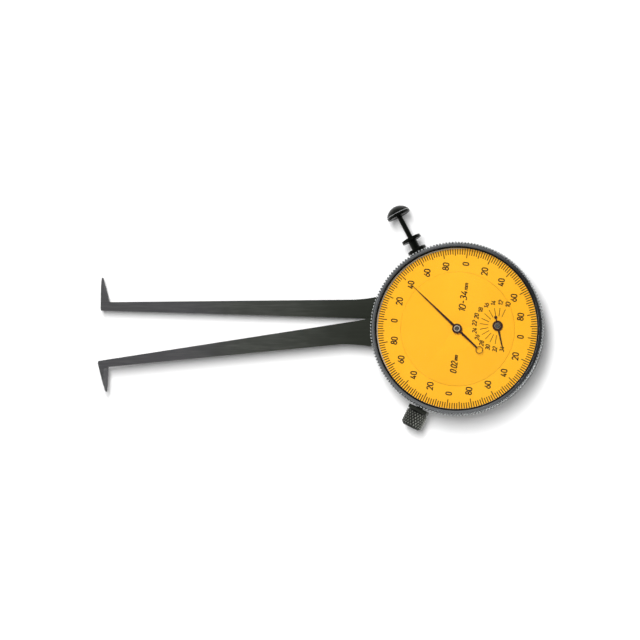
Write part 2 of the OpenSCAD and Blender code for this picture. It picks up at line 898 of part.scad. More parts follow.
module main_hand() {
  a = 136.3;
  eye_r = 1.48;
  root_w = 0.8;
  tip_w = 0.24;
  tail_w = 0.72;
  neck_w = 0.52;
  ring_at = 9.2;
  ring_r = 1.1;
  ring_t = 0.3;
  color([0.12, 0.09, 0.08])
    difference() {
      slab(hand_z, hand_z + hand_t)
        rotate(a) {
          circle(r = eye_r);
          taper(root_w, tip_w, hand_l);
          rotate(180)
            taper(tail_w, neck_w, ring_at - ring_r + 0.1);
          translate([-ring_at, 0])
            difference() {
              circle(r = ring_r);
              circle(r = ring_r - ring_t);
            }
        }
      disc([0, 0], hub_neck_r, hand_z - 1, hand_z + 1);
    }
}

module main_hand_hub() {
  color([0.72, 0.72, 0.72])
    hand_hub([0, 0], 1.3, hand_z, 0.5);
}

module hair_arbor() {
  color([0.68, 0.69, 0.7])
    union() {
      disc(hair_p, arbor_r, plate_z + 0.1, dial_z - 0.1);
      disc(hair_p, 1.2, wheel_z + gear_t, spring_z + spring_h);
    }
}

module hair_wheel() {
  color([0.8, 0.66, 0.33])
    difference() {
      slab(wheel_z, wheel_z + gear_t)
        translate(hair_p)
          gear_outline(hair_n, hair_dir + 180 + 180 / hair_n);
      disc(hair_p, arbor_r, wheel_z - 1, wheel_z + 2);
      for (a = [0 : 90 : 270])
        disc(hair_p + pol(hair_pitch_r * 0.58, a), hair_pitch_r * 0.25, wheel_z - 1, wheel_z + 2);
    }
}

module bezel_ring() {
  step = 360 / knurl_n;
  color([0.35, 0.36, 0.38])
    difference() {
      union() {
        rotate_extrude()
          polygon([[bezel_in, bezel_z], [bezel_root, bezel_z], [bezel_root, bezel_top - 0.3],
            [bezel_root - 0.25, bezel_top], [dial_r + 0.55, bezel_top], [dial_r, lip_z + 0.4],
            [dial_r, lip_z], [bezel_in, lip_z]]);
        difference() {
          slab(bezel_z + 0.35, bezel_top - 0.7)
            polygon([for (i = [0 : knurl_n - 1], k = [[-0.22, 1], [0.22, 1], [0.5, 0]])
              pol(k[1] == 1 ? bezel_tip : bezel_root - knurl_in, (i + k[0]) * step)]);
          disc([0, 0], bezel_root - 2 * knurl_in, bezel_z, bezel_top);
        }
      }
      tube([0, 0], bezel_in + 0.35, bezel_in - 1, dial_z - 0.4, dial_z);
      rotate_extrude()
        translate([bezel_in - 0.05, bezel_z + 1])
          circle(r = 0.45, $fn = 32);
    }
}

module crystal() {
  rim = bezel_in - 0.05;
  low = lip_z - 0.7;
  step_r = dial_r - 0.35;
  top = lip_z + 0.4 + crystal_rise;
  color([0.85, 0.93, 0.95, 0.3])
    rotate_extrude()
      polygon([[0, top - 1], [crystal_flat_r - 0.3, top - 1], [step_r - 0.6, low], [rim, low], [rim, lip_z],
        [step_r + 0.25, lip_z], [step_r + 0.25, lip_z + 0.3], [step_r, lip_z + 0.4],
        [crystal_flat_r, top], [0, top]]);
}

module spacer_ring() {
  color([0.5, 0.44, 0.3])
    tube([0, 0], bezel_in - 0.05, dial_r, dial_top, lip_z - 0.7);
}

module scale_ring() {
  color([0.95, 0.7, 0.12])
    tube([0, 0], bezel_in - 0.05, inner_dial_r + 0.1, dial_z, dial_top);
}

module dial_circlip() {
  color([0.5, 0.5, 0.52])
    translate([0, 0, dial_z - 0.35])
      rotate_extrude(angle = 330)
        translate([dial_r - 0.2, 0])
          square([1, 0.35]);
}

module clamp_shoe() {
  color([0.14, 0.15, 0.14])
    radial(lock_dir, lock_z)
      difference() {
        translate([-(shoe_top - lock_z), -shoe_w / 2, shoe_in])
          cube([shoe_top - lock_z + shoe_foot, shoe_w, shoe_t]);
        translate([0, 0, shoe_in - 1])
          cylinder(r = lock_screw_r + run_c, h = shoe_t + 2);
      }
}

module lock_knob() {
  color([0.2, 0.22, 0.21])
    radial(lock_dir, lock_z) {
      translate([0, 0, case_in - 0.8])
        cylinder(r = lock_screw_r, h = knob_in - case_in + 1);
      translate([0, 0, knob_in]) {
        cylinder(r = knob_r - 0.4, h = 0.5);
        translate([0, 0, 0.4])
          cylinder(r = knob_r, h = knob_l - 1.3);
        translate([0, 0, knob_l - 0.9])
          cylinder(r1 = knob_r, r2 = knob_r - 0.9, h = 0.9);
      }
    }
}

case_body();
back_cover();
cover_screws();
fixed_jaw();
jaw_screws();
pivot_pin();
pivot_washer();
main_plate();
plate_screws();
counter_cock();
cock_screws();
bridge_pillars();
bridge_plate();
bridge_screws();
swing_stops();
spring_post();
return_spring();
hairspring();
hairspring_stud();
dial_disc();
bezel_snap_ring();
button_bush();
button_nut();
moving_jaw();
sector_gear();
sector_screws();
spring_pin();
button_rod();
button_head();
rod_clip();
counter_arbor();
counter_wheel();
small_hand();
small_hand_hub();
centre_arbor();
main_hand();
main_hand_hub();
hair_arbor();
hair_wheel();
bezel_ring();
crystal();
spacer_ring();
scale_ring();
dial_circlip();
clamp_shoe();
lock_knob();
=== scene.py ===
"""Looks of the inside dial caliper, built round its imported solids.

The frame is the part's own: the dial axis is Z, the arms reach out along -X,
and the push button is on the +Y side.
"""
import json
import math

import bmesh
import bpy
from mathutils import Matrix, Vector

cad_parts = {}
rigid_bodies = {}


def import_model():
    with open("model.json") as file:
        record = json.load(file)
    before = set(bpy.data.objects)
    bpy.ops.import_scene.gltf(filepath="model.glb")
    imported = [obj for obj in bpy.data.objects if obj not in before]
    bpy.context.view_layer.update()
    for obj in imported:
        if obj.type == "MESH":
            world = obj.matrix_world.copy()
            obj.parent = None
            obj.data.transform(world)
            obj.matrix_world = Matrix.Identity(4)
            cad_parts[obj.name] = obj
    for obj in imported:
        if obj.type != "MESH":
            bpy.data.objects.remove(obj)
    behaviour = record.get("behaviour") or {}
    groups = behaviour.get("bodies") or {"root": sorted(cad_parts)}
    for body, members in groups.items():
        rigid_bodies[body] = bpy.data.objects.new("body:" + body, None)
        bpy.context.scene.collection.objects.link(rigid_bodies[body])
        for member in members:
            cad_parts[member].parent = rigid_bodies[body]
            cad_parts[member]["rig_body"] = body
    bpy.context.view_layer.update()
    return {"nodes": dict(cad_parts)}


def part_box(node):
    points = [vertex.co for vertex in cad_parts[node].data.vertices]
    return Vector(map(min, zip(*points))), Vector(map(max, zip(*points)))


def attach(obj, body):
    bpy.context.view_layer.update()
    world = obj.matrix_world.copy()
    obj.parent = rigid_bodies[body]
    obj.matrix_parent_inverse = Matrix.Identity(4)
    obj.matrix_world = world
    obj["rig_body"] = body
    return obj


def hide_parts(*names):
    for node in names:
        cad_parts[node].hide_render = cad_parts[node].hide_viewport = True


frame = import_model()


# Case and back cover. The case is a round box turned from mild steel and stoved in black enamel.
# The cover is a flat disc in the same finish, let into the back and held by four countersunk screws.
MM = 0.001


def lin(code):
    """Linear colour of an sRGB hex code."""
    parts = [int(code[i:i + 2], 16) / 255 for i in (1, 3, 5)]
    return tuple(c / 12.92 if c <= 0.04045 else ((c + 0.055) / 1.055) ** 2.4 for c in parts) + (1.0,)


def add(tree, kind, sockets=None, **settings):
    """A node with its settings. Each socket takes a value, or a link from another node's output."""
    node = tree.nodes.new(kind)
    for key, value in settings.items():
        setattr(node, key, value)
    for key, value in (sockets or {}).items():
        if isinstance(value, bpy.types.NodeSocket):
            tree.links.new(value, node.inputs[key])
        else:
            node.inputs[key].default_value = value
    return node


def material(name):
    """An empty material and its tree."""
    finish = bpy.data.materials.new(name)
    finish.use_nodes = True
    finish.node_tree.nodes.clear()
    return finish, finish.node_tree


# Stoved enamel: near black, a soft sheen, a faint orange peel and thicker and thinner patches
black_enamel, tree = material("stoved_black_enamel")
place = add(tree, "ShaderNodeTexCoord").outputs["Object"]
patch = add(tree, "ShaderNodeTexNoise", {
    "Vector": place, "Scale": 1 / (5 * MM), "Detail": 3.0}).outputs[0]
peel = add(tree, "ShaderNodeTexNoise", {
    "Vector": place, "Scale": 1 / (0.6 * MM), "Detail": 2.0}).outputs[0]
tone = add(tree, "ShaderNodeMix", {
    0: patch, 6: lin("#161817"), 7: lin("#242725")}, data_type="RGBA").outputs[2]
dull = add(tree, "ShaderNodeMapRange", {"Value": patch, "To Min": 0.36, "To Max": 0.52}).outputs[0]
skin = add(tree, "ShaderNodeBump", {
    "Height": peel, "Strength": 0.3, "Distance": 0.03 * MM}).outputs[0]
shader = add(tree, "ShaderNodeBsdfPrincipled", {"Base Color": tone, "Roughness": dull, "Normal": skin})
add(tree, "ShaderNodeOutputMaterial", {"Surface": shader.outputs[0]})

# Enamel rubbed thin along the edges, where the grey of the steel comes up in spots
rubbed_enamel, tree = material("rubbed_enamel_edge")
place = add(tree, "ShaderNodeTexCoord").outputs["Object"]
spots = add(tree, "ShaderNodeTexNoise", {
    "Vector": place, "Scale": 1 / (1.4 * MM), "Detail": 4.0}).outputs[0]
worn = add(tree, "ShaderNodeMapRange", {"Value": spots, "From Min": 0.5, "From Max": 0.68}).outputs[0]
tone = add(tree, "ShaderNodeMix", {
    0: worn, 6: lin("#2A2D2B"), 7: lin("#6A6D6A")}, data_type="RGBA").outputs[2]
dull = add(tree, "ShaderNodeMapRange", {"Value": spots, "To Min": 0.3, "To Max": 0.45}).outputs[0]
shader = add(tree, "ShaderNodeBsdfPrincipled", {"Base Color": tone, "Roughness": dull, "Metallic": worn})
add(tree, "ShaderNodeOutputMaterial", {"Surface": shader.outputs[0]})


def linked(name, data):
    """An object in the scene that holds this mesh, lamp or lens."""
    piece = bpy.data.objects.new(name, data)
    bpy.context.scene.collection.objects.link(piece)
    return piece


def settled(piece):
    """Turns a piece's modifiers into its own plain mesh."""
    shape = bpy.data.meshes.new_from_object(piece.evaluated_get(bpy.context.evaluated_depsgraph_get()))
    piece.modifiers.clear()
    piece.data = shape
    return piece


def placed(piece, body, nodes=(), smooth=30):
    """Shades a finished piece, ties it to its body and hides the solids that it stands for."""
    piece.data.shade_smooth()
    piece.data.set_sharp_from_angle(angle=math.radians(smooth))
    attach(piece, body)
    if nodes:
        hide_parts(*nodes)
    return piece


def eased(name, node, width, finish, edge):
    """A copy of a solid with its sharp edges broken to a width in mm, in a finish of their own."""
    solid = frame["nodes"][node]
    form = bmesh.new()
    form.from_mesh(solid.data)
    bmesh.ops.remove_doubles(form, verts=form.verts, dist=0.001 * MM)
    bmesh.ops.dissolve_limit(form, angle_limit=math.radians(0.6), use_dissolve_boundaries=False,
                             verts=form.verts, edges=form.edges, delimit=set())
    shape = bpy.data.meshes.new(name)
    form.to_mesh(shape)
    form.free()
    if "custom_normal" in shape.attributes:
        shape.attributes.remove(shape.attributes["custom_normal"])
    shape.materials.clear()
    shape.materials.append(finish)
    shape.materials.append(edge)
    piece = linked(name, shape)
    ease = piece.modifiers.new("broken_edges", "BEVEL")
    ease.width = width * MM
    ease.segments = 2
    ease.limit_method = "ANGLE"
    ease.angle_limit = math.radians(40)
    ease.material = 1
    return placed(settled(piece), solid["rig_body"], (node,))


eased("case_shell", "case_body", 0.12, black_enamel, rubbed_enamel)
eased("back_plate", "back_cover", 0.1, black_enamel, rubbed_enamel)


# Arms. Both are flat bars of tool steel, surface-ground along their length, hardened and black-oxidised.
# The upper one is screwed to the case floor, the lower one turns on a pin beside it.

# Black oxide on ground steel: a dark grey skin with faint grinding lines and a little paler towards the
# tips, blacker with a green cast towards the case as painted shade
black_oxide, tree = material("black_oxide_ground_steel")
place = add(tree, "ShaderNodeTexCoord").outputs["Object"]
# grinding lines are near 0.05 mm apart; they are drawn 0.4 mm apart so that they show
along = add(tree, "ShaderNodeMapping", {
    "Vector": place, "Scale": (1 / (6 * MM), 1 / (0.4 * MM), 1 / (0.4 * MM))}).outputs[0]
lines = add(tree, "ShaderNodeTexNoise", {"Vector": along, "Scale": 1.0, "Detail": 3.0}).outputs[0]
cloud = add(tree, "ShaderNodeTexNoise", {
    "Vector": place, "Scale": 1 / (4 * MM), "Detail": 4.0}).outputs[0]
grit = add(tree, "ShaderNodeTexNoise", {
    "Vector": place, "Scale": 1 / (0.5 * MM), "Detail": 2.0}).outputs[0]
tone = add(tree, "ShaderNodeMix", {
    0: cloud, 6: lin("#343632"), 7: lin("#454743")}, data_type="RGBA").outputs[2]
ground = add(tree, "ShaderNodeMapRange", {
    "Value": lines, "From Min": 0.45, "From Max": 0.8, "To Max": 0.7}).outputs[0]
tone = add(tree, "ShaderNodeMix", {0: ground, 6: tone, 7: lin("#565853")}, data_type="RGBA").outputs[2]
reach = add(tree, "ShaderNodeSeparateXYZ", {0: place}).outputs[0]
tip = add(tree, "ShaderNodeMapRange", {
    "Value": reach, "From Min": -62 * MM, "From Max": -85 * MM, "To Max": 0.24},
    interpolation_type="SMOOTHSTEP").outputs[0]
tone = add(tree, "ShaderNodeMix", {0: tip, 6: tone, 7: lin("#625D69")}, data_type="RGBA").outputs[2]
# painted shade: the arms go blacker with a green cast towards the case
root = add(tree, "ShaderNodeMapRange", {
    "Value": reach, "From Min": -60 * MM, "From Max": -28 * MM, "To Max": 0.85},
    interpolation_type="SMOOTHSTEP").outputs[0]
tone = add(tree, "ShaderNodeMix", {0: root, 6: tone, 7: lin("#23261F")}, data_type="RGBA").outputs[2]
dull = add(tree, "ShaderNodeMapRange", {"Value": grit, "To Min": 0.42, "To Max": 0.6}).outputs[0]
bump = add(tree, "ShaderNodeBump", {
    "Height": lines, "Strength": 0.25, "Distance": 0.03 * MM}).outputs[0]
shader = add(tree, "ShaderNodeBsdfPrincipled", {
    "Base Color": tone, "Metallic": 0.2, "Roughness": dull, "Normal": bump})
add(tree, "ShaderNodeOutputMaterial", {"Surface": shader.outputs[0]})


def mottled(name, patch, detail, tones, rough, sockets=None):
    """A material whose tone and roughness drift together, over patches of a size in mm."""
    finish, tree = material(name)
    place = add(tree, "ShaderNodeTexCoord").outputs["Object"]
    drift = add(tree, "ShaderNodeTexNoise", {
        "Vector": place, "Scale": 1 / (patch * MM), "Detail": detail}).outputs[0]
    tone = add(tree, "ShaderNodeMix", {
        0: drift, 6: lin(tones[0]), 7: lin(tones[1])}, data_type="RGBA").outputs[2]
    dull = add(tree, "ShaderNodeMapRange", {
        "Value": drift, "To Min": rough[0], "To Max": rough[1]}).outputs[0]
    shader = add(tree, "ShaderNodeBsdfPrincipled", {
        "Base Color": tone, "Roughness": dull, **(sockets or {})})
    add(tree, "ShaderNodeOutputMaterial", {"Surface": shader.outputs[0]})
    return finish


# Edges rubbed smooth and shinier by handling, darker than the ground faces as painted shade
handled_edge_painted_shade = mottled("handled_oxide_edge_painted_shade", 2.2, 4.0, ("#262825", "#4E504C"), (0.42, 0.26),
                       {"Metallic": 0.7})

eased("upper_arm", "fixed_jaw", 0.12, black_oxide, handled_edge_painted_shade)
eased("lower_arm", "moving_jaw", 0.12, black_oxide, handled_edge_painted_shade)


# Movement. Plates, wheels, pillars and the toothed sector are lacquered brass, stamped and turned.
# It is screwed to lugs in the case and shut in by the dial and the back cover.

# Brass: warm yellow with straight grain from the rolled sheet and a slight tarnish
rolled_brass, tree = material("rolled_lacquered_brass")
place = add(tree, "ShaderNodeTexCoord").outputs["Object"]
along = add(tree, "ShaderNodeMapping", {
    "Vector": place, "Scale": (1 / (6 * MM), 1 / (0.3 * MM), 1 / (0.3 * MM))}).outputs[0]
grain = add(tree, "ShaderNodeTexNoise", {"Vector": along, "Scale": 1.0, "Detail": 3.0}).outputs[0]
tarnish = add(tree, "ShaderNodeTexNoise", {
    "Vector": place, "Scale": 1 / (6 * MM), "Detail": 3.0}).outputs[0]
tone = add(tree, "ShaderNodeMix", {
    0: tarnish, 6: lin("#C9A04C"), 7: lin("#DDBB6A")}, data_type="RGBA").outputs[2]
dull = add(tree, "ShaderNodeMapRange", {"Value": grain, "To Min": 0.22, "To Max": 0.42}).outputs[0]
bump = add(tree, "ShaderNodeBump", {
    "Height": grain, "Strength": 0.2, "Distance": 0.01 * MM}).outputs[0]
shader = add(tree, "ShaderNodeBsdfPrincipled", {
    "Base Color": tone, "Metallic": 1.0, "Roughness": dull, "Normal": bump})
add(tree, "ShaderNodeOutputMaterial", {"Surface": shader.outputs[0]})

# Bright steel: pale grey, turned and polished, with a thin haze
bright_steel = mottled("turned_bright_steel", 0.7, 3.0, ("#A9ABAC", "#CDCFCF"), (0.2, 0.36),
                       {"Metallic": 1.0})
# Blued steel: tempered in the flame to a deep blue that shifts towards purple in places
blued_steel = mottled("flame_blued_steel", 1.5, 2.0, ("#23345F", "#42417A"), (0.2, 0.32),
                      {"Metallic": 1.0})


def finished(finish, *names):
    """Gives solids that keep their own mesh their finish."""
    for name in names:
        frame["nodes"][name].material_slots[0].material = finish


finished(rolled_brass, "main_plate", "counter_cock", "bridge_pillars", "bridge_plate", "sector_gear",
         "counter_wheel", "hair_wheel", "pivot_washer")
finished(bright_steel, "jaw_screws", "pivot_pin", "plate_screws", "cock_screws", "bridge_screws",
         "swing_stops", "spring_post", "hairspring_stud", "sector_screws", "spring_pin", "rod_clip",
         "hair_arbor", "bezel_snap_ring", "dial_circlip", "return_spring", "counter_arbor",
         "centre_arbor")
finished(blued_steel, "hairspring")
# the back cover's screws are blacked like the arms
finished(black_oxide, "cover_screws")


# Dial. A still inner disc and an outer ring that turns with the bezel, both of sheet metal sprayed yellow.
# The disc stands on two feet on the bridge, the ring is held in the bezel by a circlip.

# Sprayed dial paint: matt yellow with an orange cast, a very fine grain and slight unevenness
dial_paint, tree = material("sprayed_matt_dial_paint")
place = add(tree, "ShaderNodeTexCoord").outputs["Object"]
drift = add(tree, "ShaderNodeTexNoise", {
    "Vector": place, "Scale": 1 / (14 * MM), "Detail": 2.0}).outputs[0]
# the spray's grain is near 0.05 mm; it is drawn at 0.4 mm so that it shows
grain = add(tree, "ShaderNodeTexNoise", {
    "Vector": place, "Scale": 1 / (0.4 * MM), "Detail": 3.0}).outputs[0]
tone = add(tree, "ShaderNodeMix", {
    0: drift, 6: lin("#F8AD15"), 7: lin("#F8B928")}, data_type="RGBA").outputs[2]
speck = add(tree, "ShaderNodeMapRange", {
    "Value": grain, "From Min": 0.35, "From Max": 0.8, "To Max": 0.3}).outputs[0]
tone = add(tree, "ShaderNodeMix", {0: speck, 6: tone, 7: lin("#EFA30E")}, data_type="RGBA").outputs[2]
bump = add(tree, "ShaderNodeBump", {
    "Height": grain, "Strength": 0.15, "Distance": 0.02 * MM}).outputs[0]
dull = add(tree, "ShaderNodeMapRange", {"Value": grain, "To Min": 0.5, "To Max": 0.62}).outputs[0]
shader = add(tree, "ShaderNodeBsdfPrincipled", {"Base Color": tone, "Roughness": dull, "Normal": bump})
add(tree, "ShaderNodeOutputMaterial", {"Surface": shader.outputs[0]})

finished(dial_paint, "scale_ring")
still_dial = eased("still_dial", "dial_disc", 0.02, dial_paint, dial_paint)
# the disc's rim is let close into the ring, so that only a hairline shows between them
rim_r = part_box("dial_disc")[1].x
rim_growth = 0.06 * MM
for point in still_dial.data.vertices:
    if point.co.xy.length > 0.99 * rim_r:
        point.co.xy *= 1 + rim_growth / rim_r


# Print on the dial. Lines and figures are pad-printed in a dark brown ink, a hair above the paint.
# The main scale has 200 lines and turns with the bezel; the short hand's scale and the range stay
# with the case.
ink_h = 0.02
dial_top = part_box("dial_disc")[1].z / MM
dial_up = 172.7
main_lines, main_figures = 200, 20
counter_at = (12.0705, 0.8441)
small_lines, small_from, small_step = 13, 64.8, 18

# Printing ink: dark olive brown, matt, thinner in places so that the yellow warms it
dial_ink = mottled("pad_printed_ink", 0.5, 3.0, ("#140B02", "#281A04"), (0.45, 0.6))


def geometry_tree(name, inputs):
    """An empty geometry tree with named inputs, and the sockets that they come in by."""
    tree = bpy.data.node_groups.new(name, "GeometryNodeTree")
    for label, kind in inputs.items():
        tree.interface.new_socket(label, in_out="INPUT", socket_type="NodeSocket" + kind)
    tree.interface.new_socket("Geometry", in_out="OUTPUT", socket_type="NodeSocketGeometry")
    return tree, add(tree, "NodeGroupInput").outputs


def ringed(tree, count, spot, turn, form, size, finish):
    """Ends a tree: one form at each spot of a ring, turned and sized, as a plain mesh in its finish."""
    points = add(tree, "GeometryNodeMeshLine", {"Count": count}).outputs[0]
    points = add(tree, "GeometryNodeSetPosition", {"Geometry": points, "Position": spot}).outputs[0]
    upright = add(tree, "ShaderNodeCombineXYZ", {2: turn}).outputs[0]
    facing = add(tree, "FunctionNodeEulerToRotation", {0: upright}).outputs[0]
    forms = add(tree, "GeometryNodeInstanceOnPoints", {
        "Points": points, "Instance": form, "Rotation": facing, "Scale": size}).outputs[0]
    plain = add(tree, "GeometryNodeRealizeInstances", {"Geometry": forms}).outputs[0]
    plain = add(tree, "GeometryNodeSetMaterial", {"Geometry": plain, "Material": finish}).outputs[0]
    add(tree, "NodeGroupOutput", {"Geometry": plain})


# Tree of a ring of lines: every tenth is long, every fifth between them is middling
graduation, ask = geometry_tree("graduation_lines", {
    "Lines": "Int", "First direction": "Float", "Step": "Float", "Outer radius": "Float",
    "Short": "Float", "Middling": "Float", "Long": "Float", "Line width": "Float",
    "Ink depth": "Float", "Height": "Float", "Centre": "Vector", "Ink": "Material"})
count = add(graduation, "GeometryNodeInputIndex").outputs[0]
length = ask["Short"]
for every, usual, longer in ((5.0, "Short", "Middling"), (10.0, "Middling", "Long")):
    rest = add(graduation, "ShaderNodeMath", {0: count, 1: every}, operation="MODULO").outputs[0]
    chosen = add(graduation, "ShaderNodeMath", {
        0: rest, 1: 0.0, 2: 0.1}, operation="COMPARE").outputs[0]
    extra = add(graduation, "ShaderNodeMath", {
        0: ask[longer], 1: ask[usual]}, operation="SUBTRACT").outputs[0]
    length = add(graduation, "ShaderNodeMath", {
        0: chosen, 1: extra, 2: length}, operation="MULTIPLY_ADD").outputs[0]
turn = add(graduation, "ShaderNodeMath", {
    0: count, 1: ask["Step"], 2: ask["First direction"]}, operation="MULTIPLY_ADD").outputs[0]
middle = add(graduation, "ShaderNodeMath", {
    0: length, 1: -0.5, 2: ask["Outer radius"]}, operation="MULTIPLY_ADD").outputs[0]
spoke = add(graduation, "ShaderNodeCombineXYZ", {0: middle, 2: ask["Height"]}).outputs[0]
spoke = add(graduation, "ShaderNodeVectorRotate", {
    "Vector": spoke, "Angle": turn}, rotation_type="Z_AXIS").outputs[0]
spot = add(graduation, "ShaderNodeVectorMath", {
    0: spoke, 1: ask["Centre"]}, operation="ADD").outputs[0]
bar = add(graduation, "GeometryNodeMeshCube", {"Size": (1.0, 1.0, 1.0)}).outputs[0]
size = add(graduation, "ShaderNodeCombineXYZ", {
    0: length, 1: ask["Line width"], 2: ask["Ink depth"]}).outputs[0]
ringed(graduation, ask["Lines"], spot, turn, bar, size, ask["Ink"])


def grown(name, tree, sizes):
    """A plain mesh from a geometry tree with these sizes."""
    piece = linked(name, bpy.data.meshes.new(name))
    maker = piece.modifiers.new(tree.name, "NODES")
    maker.node_group = tree
    for item in tree.interface.items_tree:
        if item.in_out == "INPUT":
            maker[item.identifier] = sizes[item.name]
    return settled(piece)


print_sizes = {"Ink depth": ink_h * MM, "Height": (dial_top + ink_h / 2) * MM, "Ink": dial_ink}
main_scale = grown("main_scale_lines", graduation, {
    "Lines": main_lines, "First direction": math.radians(dial_up), "Step": math.radians(-360 / main_lines),
    "Outer radius": 23.55 * MM, "Short": 1.6 * MM, "Middling": 1.95 * MM, "Long": 2.55 * MM,
    "Line width": 0.27 * MM, "Centre": (0.0, 0.0, 0.0), **print_sizes})
placed(main_scale, "bezel")
small_scale = grown("short_hand_scale_lines", graduation, {
    "Lines": small_lines, "First direction": math.radians(small_from), "Step": math.radians(small_step),
    "Outer radius": 5.4 * MM, "Short": 2.55 * MM, "Middling": 2.55 * MM, "Long": 2.55 * MM,
    "Line width": 0.18 * MM, "Centre": (counter_at[0] * MM, counter_at[1] * MM, 0.0), **print_sizes})
placed(small_scale, "case")


def bow(x, y, wide, high, start, end):
    """Points along a round stretch of a letter."""
    steps = max(4, round(abs(end - start) / 20))
    turns = [math.radians(start + (end - start) * k / steps) for k in range(steps + 1)]
    return [(x + wide * math.cos(a), y + high * math.sin(a)) for a in turns]


# Engraver's figures: the width of each and its pen strokes, in a box one unit high
letter_gap = 0.24
pen = {
    "0": (0.56, [bow(0.28, 0.7, 0.28, 0.3, 0, 180) + bow(0.28, 0.3, 0.28, 0.3, 180, 360) + [(0.56, 0.7)]]),
    "1": (0.26, [[(0.0, 0.78), (0.26, 1.0), (0.26, 0.0)]]),
    "2": (0.56, [bow(0.28, 0.71, 0.27, 0.29, 170, -36) + [(0.0, 0.0), (0.56, 0.0)]]),
    "3": (0.54, [bow(0.26, 0.76, 0.24, 0.24, 150, -80) + bow(0.26, 0.27, 0.28, 0.27, 80, -150)]),
    "4": (0.62, [[(0.36, 1.0), (0.0, 0.26), (0.62, 0.26)], [(0.44, 0.56), (0.44, 0.0)]]),
    "6": (0.56, [[(0.4, 1.0)] + bow(0.28, 0.3, 0.28, 0.3, 150, -210)]),
    "8": (0.56, [bow(0.28, 0.76, 0.23, 0.24, -90, 270), bow(0.28, 0.26, 0.28, 0.26, 90, 450)]),
    "-": (0.42, [[(0.0, 0.46), (0.42, 0.46)]]),
    ".": (0.1, [[(0.0, 0.05), (0.1, 0.05)]]),
    "m": (0.84, [[(0.0, 0.0), (0.0, 1.0)], bow(0.21, 0.72, 0.21, 0.28, 180, 0) + [(0.42, 0.0)],
                 bow(0.63, 0.72, 0.21, 0.28, 180, 0) + [(0.84, 0.0)]]),
}


def stroke(sheet, points, line):
    """A flat bar of ink along points in mm. One that ends where it starts is closed."""
    closed = math.dist(points[0], points[-1]) < 1e-6
    spots = [Vector(p) for p in (points[:-1] if closed else points)]
    rings = []
    for i, spot in enumerate(spots):
        into = (spot - spots[i - 1]).normalized() if closed or i else None
        onward = into
        if closed or i < len(spots) - 1:
            onward = (spots[(i + 1) % len(spots)] - spot).normalized()
        way = ((into or onward) + onward).normalized()
        reach = line / 2 / max(0.5, way.dot(onward))
        side = Vector((-way.y, way.x)) * reach
        corners = ((spot + side, dial_top), (spot - side, dial_top),
                   (spot - side, dial_top + ink_h), (spot + side, dial_top + ink_h))
        rings.append([sheet.verts.new((*flat, z)) for flat, z in corners])
    for near, far in zip(rings, rings[1:] + rings[:1] if closed else rings[1:]):
        for k in range(4):
            sheet.faces.new((near[k], near[(k + 1) % 4], far[(k + 1) % 4], far[k]))
    if not closed:
        sheet.faces.new(rings[0])
        sheet.faces.new(rings[-1])


def made(name, form, *finishes):
    """An object from a finished form."""
    shape = bpy.data.meshes.new(name)
    form.to_mesh(shape)
    form.free()
    for finish in finishes:
        shape.materials.append(finish)
    return linked(name, shape)


def printed(name, rows, body):
    """Lettering in one mesh. A row is a text, its height, width, line and slant, and its middle, in mm."""
    sheet = bmesh.new()
    turn = Matrix.Rotation(math.radians(dial_up - 90), 2)
    for text, height, width, line, slant, x, y in rows:
        whole = sum(pen[letter][0] for letter in text) + letter_gap * (len(text) - 1)
        start = 0.0
        for letter in text:
            wide, paths = pen[letter]
            for path in paths:
                spots = []
                for u, v in path:
                    up = (v - 0.5) * height
                    over = ((start + u) / whole - 0.5) * width + slant * up
                    spots.append(Vector((x, y)) + turn @ Vector((over, up)))
                stroke(sheet, spots, line)
            start += wide + letter_gap
    bmesh.ops.recalc_face_normals(sheet, faces=sheet.faces)
    sheet.transform(Matrix.Scale(MM, 4))
    return placed(made(name, sheet, dial_ink), body)


def about(radius, direction, centre=(0.0, 0.0)):
    """A point round a centre."""
    a = math.radians(direction)
    return centre[0] + radius * math.cos(a), centre[1] + radius * math.sin(a)


# the figures end on one circle, so a lone 0 stands further out where it is read along the radius
figure_r, figure_h, bold, fine, slanted = 19.7, 1.7, 0.34, 0.26, 0.2
rows = []
for i in range(main_figures):
    text = str(i * 20 % 100)
    wide = 0.75 if text == "0" else 2.0
    way = i * 360 / main_figures
    along = abs(math.cos(math.radians(90 - way)))
    inset = math.hypot(wide / 2 * along, figure_h / 2 * (1 - along))
    rows.append((text, figure_h, wide, bold, 0.0, *about(figure_r - inset, dial_up - way)))
printed("main_scale_figures", rows, "bezel")

small_figure_r = 7.0
rows = []
for k in range(small_lines):
    spot = about(small_figure_r, small_from + small_step * k, counter_at)
    rows.append((str(10 + 2 * k), 1.2, 1.4, fine, slanted, *spot))
rows.append(("10-34", 1.9, 6.1, bold, slanted, 1.72, 8.3))
rows.append(("mm", 0.8, 1.9, fine, slanted, 2.75, 12.6))
rows.append(("0.02", 1.8, 3.2, bold, slanted, -1.0, -11.4))
rows.append(("mm", 0.75, 1.5, fine, slanted, -0.2, -8.7))
printed("still_dial_figures", rows, "case")


# Hands. Thin stamped steel, lacquered brown-black, pressed on turned hubs of nickel silver and steel.
# The long hand has a ring on its tail and turns on the dial axis, the short hand turns beside it.

# Hand lacquer: brown-black and smooth, with the brown showing where it is thin
hand_lacquer = mottled("brown_black_hand_lacquer", 1.2, 3.0, ("#190A06", "#3A1A10"), (0.3, 0.45))
# Nickel silver: pale and a little warm, satin from the lathe, with a thin haze
nickel_silver = mottled("satin_nickel_silver", 0.8, 2.0, ("#AAA498", "#C8C1B4"), (0.3, 0.45),
                        {"Metallic": 0.3})

long_hand = eased("long_hand", "main_hand", 0.04, hand_lacquer, hand_lacquer)
